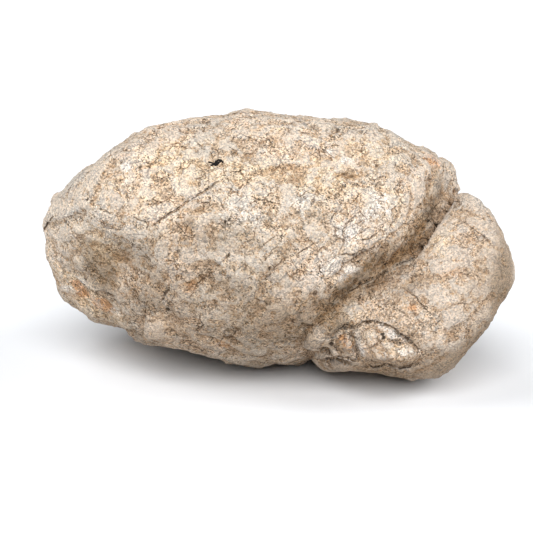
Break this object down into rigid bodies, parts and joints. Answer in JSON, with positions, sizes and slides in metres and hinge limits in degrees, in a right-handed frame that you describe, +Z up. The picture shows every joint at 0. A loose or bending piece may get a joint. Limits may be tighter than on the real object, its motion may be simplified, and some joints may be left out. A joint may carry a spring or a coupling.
{
  "type": "geode",
  "caption": "Whole uncut geode: a large rough stone lobe grown together with a smaller smooth one, resting on worn flats under both.",
  "frame": {"origin": "on the resting surface, under the middle of the stone's box", "axes": "+X along the stone's length towards the smaller lobe, +Y to the side away from the broken nodule, +Z up"},
  "size_m": [0.2884, 0.2012, 0.1694],
  "materials": {
    "crust": "rough weathered limestone crust, sandy beige with white and orange grains"
  },
  "bodies": {
    "root": {"geode": "crust"}
  },
  "joints": []
}
